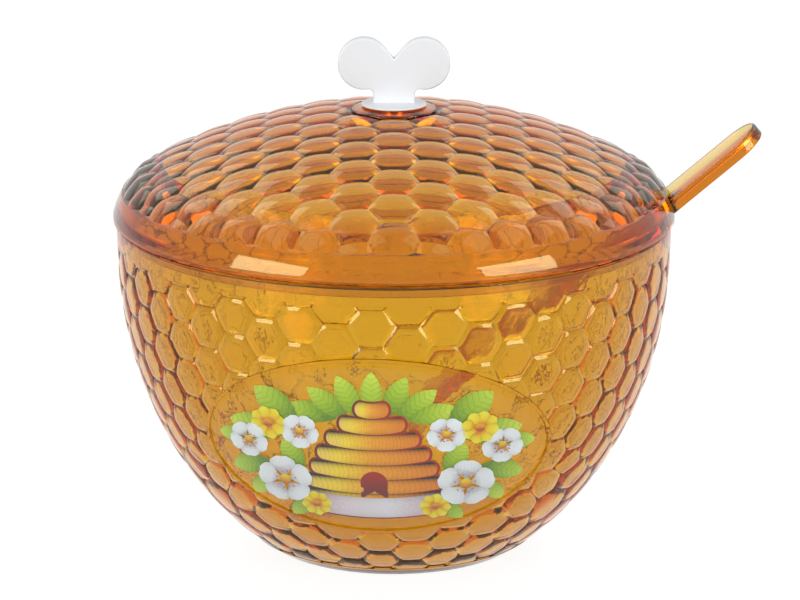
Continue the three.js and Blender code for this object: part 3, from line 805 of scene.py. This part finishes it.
def ink(name, stops, stripes=0.0, slant=0.0, line=0.0, edge=0.0):
    """Printed ink: colours from a motif's base to its tip, drawn lines across it and darker sides."""
    look = bpy.data.materials.new(name)
    look.use_nodes = True
    nodes, links = look.node_tree.nodes, look.node_tree.links
    shader = nodes["Principled BSDF"]
    shader.inputs["Roughness"].default_value = 0.35
    shader.inputs["Coat Weight"].default_value = 0.5
    shader.inputs["Coat Roughness"].default_value = 0.06

    def maths(operation, *values):
        step = nodes.new("ShaderNodeMath")
        step.operation = operation
        for socket, value in zip(step.inputs, values):
            if isinstance(value, float):
                socket.default_value = value
            else:
                links.new(value, socket)
        return step.outputs["Value"]

    motif = nodes.new("ShaderNodeAttribute")
    motif.attribute_name = "motif"
    split = nodes.new("ShaderNodeSeparateXYZ")
    links.new(motif.outputs["Vector"], split.inputs["Vector"])
    along, across, shade = (split.outputs[axis] for axis in "XYZ")
    spot = nodes.new("ShaderNodeTexCoord")
    grain = nodes.new("ShaderNodeTexNoise")
    grain.inputs["Scale"].default_value = 1400.0
    grain.inputs["Detail"].default_value = 3.0
    links.new(spot.outputs["Object"], grain.inputs["Vector"])
    rough = maths("MULTIPLY_ADD", grain.outputs["Fac"], 0.3, -0.15)
    place = maths("ADD", maths("MULTIPLY_ADD", shade, 0.3, -0.15), maths("ADD", along, rough))
    ramp = nodes.new("ShaderNodeValToRGB")
    links.new(place, ramp.inputs["Fac"])
    steps = ramp.color_ramp.elements
    while len(steps) < len(stops):
        steps.new(0.5)
    for step, (at, colour) in zip(steps, stops):
        step.position = at
        step.color = (*colour, 1.0)
    side = maths("ABSOLUTE", across)
    lines = maths("ADD", maths("MULTIPLY", along, stripes), maths("MULTIPLY", side, slant))
    wave = maths("PINGPONG", lines, 0.5)
    drawn = maths("MULTIPLY", maths("GREATER_THAN", 0.09, wave), line)
    dark = maths("MULTIPLY", maths("POWER", side, 3.0), edge)
    level = maths("SUBTRACT", maths("SUBTRACT", 1.0, drawn), dark)
    toned = nodes.new("ShaderNodeVectorMath")
    toned.operation = "SCALE"
    links.new(ramp.outputs["Color"], toned.inputs[0])
    links.new(level, toned.inputs["Scale"])
    links.new(toned.outputs["Vector"], shader.inputs["Base Color"])
    return look


def at(x, y):
    return x * MILLIMETRE, y * MILLIMETRE


def blossom(middle, radius, petals, turn, breadth, notch, shade):
    """Petals round one middle, each starting a little way out from it."""
    leaves = []
    for i in range(petals):
        way = turn + 2 * math.pi * i / petals
        base = (middle[0] + 0.12 * radius * math.cos(way), middle[1] + 0.12 * radius * math.sin(way))
        leaves.append(blade(base, way, 0.88 * radius, breadth * radius, 1.5, notch,
                            shade=(shade + 0.37 * i) % 1))
    return leaves


film_turns = [2 * math.pi * i / FILM_STEPS for i in range(FILM_STEPS)]
film_oval = [(film_width * math.cos(a), film_height * math.sin(a)) for a in film_turns]
film = printed("label_film", [(film_oval, (0.0, 0.0), (1.0, 0.0), 2 * film_width, 2 * film_height, 0.5)],
               film_face, FILM_THICK)
FILM_CLEAR, nodes, links, shader = moulded("clear_film", 0.06, 0.03, 0.002, 0.000004)
shader.inputs["Base Color"].default_value = (0.9, 0.88, 0.8, 1.0)
shader.inputs["Alpha"].default_value = 0.015
smooth(film, PRINT_CREASE)
dress(film, FILM_CLEAR, "printed_film", "bowl_body", "label")

LEAF_GREENS = [(0.0, (0.12, 0.24, 0.01)), (0.45, (0.36, 0.52, 0.02)), (1.0, (0.62, 0.74, 0.07))]
PETAL_WHITES = [(0.1, (0.5, 0.45, 0.5)), (0.4, (0.86, 0.84, 0.9)), (0.9, (0.92, 0.92, 0.96))]
PETAL_YELLOWS = [(0.1, (0.72, 0.25, 0.01)), (0.4, (0.93, 0.62, 0.01)), (0.9, (0.95, 0.8, 0.05))]
HEART_YELLOWS = [(0.1, (0.45, 0.13, 0.01)), (0.5, (0.8, 0.36, 0.015)), (0.9, (0.92, 0.62, 0.03))]
STRAW_AMBERS = [(0.05, (0.9, 0.6, 0.12)), (0.22, (0.98, 0.68, 0.05)), (0.5, (0.9, 0.36, 0.03)),
                (0.95, (0.78, 0.22, 0.02))]
DARK_REDS = [(0.2, (0.16, 0.012, 0.01)), (0.8, (0.36, 0.02, 0.012))]
RIBBON_LILACS = [(0.0, (0.55, 0.3, 0.36)), (0.3, (0.82, 0.68, 0.76)), (0.6, (0.85, 0.78, 0.84)),
                 (1.0, (0.6, 0.36, 0.42))]

sprays = [(7 * i, 22.5 * i) for i in range(-3, 4)]
leaves = [blade(at(0.35 * lean, 8.0), math.pi / 2 - math.radians(1.15 * turn), 0.0112, 0.0052, 1.1, teeth=9,
                shade=(0.3 * k) % 1) for k, (lean, turn) in enumerate(sprays)]
flowers, suns, hearts, dots = [], [], [], []
for side in (-1, 1):
    def way(degrees):
        return math.radians(degrees if side > 0 else 180 - degrees)

    for k, (x, y, turn, length, width) in enumerate([
            (15.5, 6.0, 38, 12.5, 7.0), (19.0, 3.0, 8, 12.5, 6.6), (22.5, -4.0, -22, 9.5, 5.4),
            (15.0, -6.0, 60, 9.0, 5.2), (23.0, -8.0, -58, 7.0, 4.4), (13.5, -12.5, -50, 7.5, 4.2),
            (27.0, 1.0, -2, 7.0, 4.4)]):
        leaves.append(blade(at(side * x, y), way(turn), *at(length, width), 1.15, teeth=8,
                            shade=(0.41 * k + 0.2) % 1))
    for x, y, radius, turn in ((19.4, -8.6, 6.4, 12), (27.2, 0.4, 4.6, 50), (15.6, 4.2, 4.4, -20)):
        middle = at(side * x, y)
        flowers += blossom(middle, radius * MILLIMETRE, 5, way(turn), 0.92, 0.08, 0.1 * radius)
        hearts.append(disc(middle, radius * 0.00021, 0.6))
        for i in range(12):
            out = radius * (0.00031 + 0.00006 * (i % 2))
            angle = way(turn) + 2 * math.pi * i / 12
            spot = (middle[0] + out * math.cos(angle), middle[1] + out * math.sin(angle))
            dots.append(disc(spot, 0.00022, 0.3, 8))
    for x, y, radius, turn in ((22.6, 5.4, 4.0, 30), (12.8, -14.2, 3.4, -10)):
        middle = at(side * x, y)
        suns += blossom(middle, radius * MILLIMETRE, 8, way(turn), 0.74, 0.0, 0.2)
        dots.append(disc(middle, radius * 0.00026, 0.2))

coils, shade = [], []
half_widths = (14.8, 14.4, 13.5, 12.0, 9.9, 7.0, 3.6)
for k, half in enumerate(half_widths):
    low, sag = -13.2 + 3.75 * k, (0.9 + 0.03 * half) * MILLIMETRE
    coils.append(band(*at(-half, half), *at(low, low + 3.6), sag, 0.5 + 0.1 * (k % 2)))
    shade.append(band(*at(-half - 0.6, half + 0.6), *at(low - 0.5, low + 4.1), sag, 0.4))
door = [arch(at(0, -11.6), 0.0029, 0.0068)]
shade.append(band(-0.0162, 0.0162, -0.0160, -0.0098, 0.0016, 0.4, 20))
ribbon = [band(-0.0158, 0.0158, -0.0156, -0.0102, 0.0016, 0.5, 20)]

for name, shapes, level, look in (
        ("label_leaves", leaves, 1, ink("leaf_ink", LEAF_GREENS, 9.0, -1.3, 0.22, 0.35)),
        ("label_shade", shade, 2, ink("shade_ink", DARK_REDS)),
        ("label_straw", coils, 3, ink("straw_ink", STRAW_AMBERS, 26.0, 0.5, 0.16, 0.45)),
        ("label_door", door, 4, ink("door_ink", DARK_REDS)),
        ("label_ribbon", ribbon, 6, ink("ribbon_ink", RIBBON_LILACS, edge=0.2)),
        ("label_white_petals", flowers, 7, ink("petal_ink", PETAL_WHITES, 0.0, 4.0, 0.07, 0.2)),
        ("label_yellow_petals", suns, 7, ink("sun_ink", PETAL_YELLOWS, 0.0, 3.0, 0.12, 0.35)),
        ("label_hearts", hearts, 9, ink("heart_ink", HEART_YELLOWS, edge=0.3)),
        ("label_dots", dots, 9, ink("dot_ink", [(0.2, (0.5, 0.1, 0.01)), (0.6, (0.8, 0.35, 0.02))]))):
    piece = printed(name, shapes, film_face + INK_THICK + INK_STEP * 5 * level)
    smooth(piece, PRINT_CREASE)
    dress(piece, look, "printed_film", "bowl_body")

# Camera: a long lens from the label's side and a little above.
CAMERA_DISTANCE = 0.7446
CAMERA_HEIGHT = 0.2591
CAMERA_PITCH = math.radians(15.32)
CAMERA_LENS = 153.43
CAMERA_SHIFT = 6 / 800
camera_data = bpy.data.cameras.new("camera")
camera_data.lens = CAMERA_LENS
camera_data.sensor_width = 36
camera_data.shift_x = CAMERA_SHIFT
camera_data.clip_start = 0.01
camera = bpy.data.objects.new("camera", camera_data)
camera.location = (0, -CAMERA_DISTANCE, CAMERA_HEIGHT)
camera.rotation_euler = (math.pi / 2 - CAMERA_PITCH, 0, 0)
bpy.context.scene.collection.objects.link(camera)
bpy.context.scene.camera = camera

# Studio: a pale table in a white room, with a large soft box at each side in front, and dimmer ones
# above and behind.
BOX_DISTANCE = 3.0
BOX_AIM = Vector((0, 0, 0.06))
BOX_COLOUR = (0.92, 1.0, 0.95)
TABLE_HALF = 3.0
TABLE_LEVEL = -0.0002
TABLE_GREY = 0.15
TABLE_WHITE = 0.9
ROOM_WHITE = 1.0
ROOM_FILL = 0.1
LIGHT_BOUNCES = 24
bpy.context.scene.view_settings.view_transform = "Standard"
for kind in ("max", "glossy", "transmission"):
    setattr(bpy.context.scene.cycles, kind + "_bounces", LIGHT_BOUNCES)


def white_background(nodes, links, white, fill):
    """Strength that is white to the camera, in reflections and through plastic, and a soft fill elsewhere."""
    path = nodes.new("ShaderNodeLightPath")
    seen = path.outputs["Is Camera Ray"]
    for kind in ("Glossy", "Transmission"):
        step = nodes.new("ShaderNodeMath")
        step.operation = "MAXIMUM"
        links.new(seen, step.inputs[0])
        links.new(path.outputs[f"Is {kind} Ray"], step.inputs[1])
        seen = step.outputs["Value"]
    pick = nodes.new("ShaderNodeMix")
    links.new(seen, pick.inputs["Factor"])
    pick.inputs["A"].default_value = fill
    pick.inputs["B"].default_value = white
    return pick.outputs["Result"]


table = mesh_object("table", [(x * TABLE_HALF, y * TABLE_HALF, TABLE_LEVEL)
                              for x, y in ((-1, -1), (1, -1), (1, 1), (-1, 1))], [(0, 1, 2, 3)])
table_look = bpy.data.materials.new("table_pale")
table_look.use_nodes = True
nodes, links = table_look.node_tree.nodes, table_look.node_tree.links
shader = nodes["Principled BSDF"]
shader.inputs["Base Color"].default_value = (TABLE_GREY, TABLE_GREY, TABLE_GREY, 1)
shader.inputs["Roughness"].default_value = 0.6
shader.inputs["Emission Color"].default_value = (1, 1, 1, 1)
links.new(white_background(nodes, links, TABLE_WHITE, 0.0), shader.inputs["Emission Strength"])
table.data.materials.append(table_look)
table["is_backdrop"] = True

world = bpy.data.worlds.new("room")
bpy.context.scene.world = world
world.use_nodes = True
nodes, links = world.node_tree.nodes, world.node_tree.links
back = nodes["Background"]
back.inputs["Color"].default_value = (1, 1, 1, 1)
links.new(white_background(nodes, links, ROOM_WHITE, ROOM_FILL), back.inputs["Strength"])


def soft_box(name, azimuth, rise, size, radiance):
    """Upright rectangle of light, aimed at the object; azimuth is taken from the camera's side."""
    lamp = bpy.data.lights.new(name, "AREA")
    lamp.color = BOX_COLOUR
    lamp.shape = "RECTANGLE"
    lamp.size, lamp.size_y = size
    lamp.energy = radiance * math.pi * size[0] * size[1]
    thing = bpy.data.objects.new(name, lamp)
    turn, up = math.radians(azimuth), math.radians(rise)
    away = Vector((math.sin(turn) * math.cos(up), -math.cos(turn) * math.cos(up), math.sin(up)))
    thing.location = BOX_AIM + away * BOX_DISTANCE
    thing.rotation_euler = away.to_track_quat("Z", "Y").to_euler()
    bpy.context.scene.collection.objects.link(thing)


for side, sign in (("left", -1), ("right", 1)):
    soft_box("soft_box_" + side, azimuth=sign * 52, rise=14.5, size=(1.65, 1.45), radiance=8.5)
    soft_box("top_box_" + side, azimuth=sign * 75, rise=60, size=(2.0, 1.6), radiance=1.1)
    soft_box("back_box_" + side, azimuth=sign * 135, rise=40, size=(1.6, 1.4), radiance=1.5)

low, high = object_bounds()
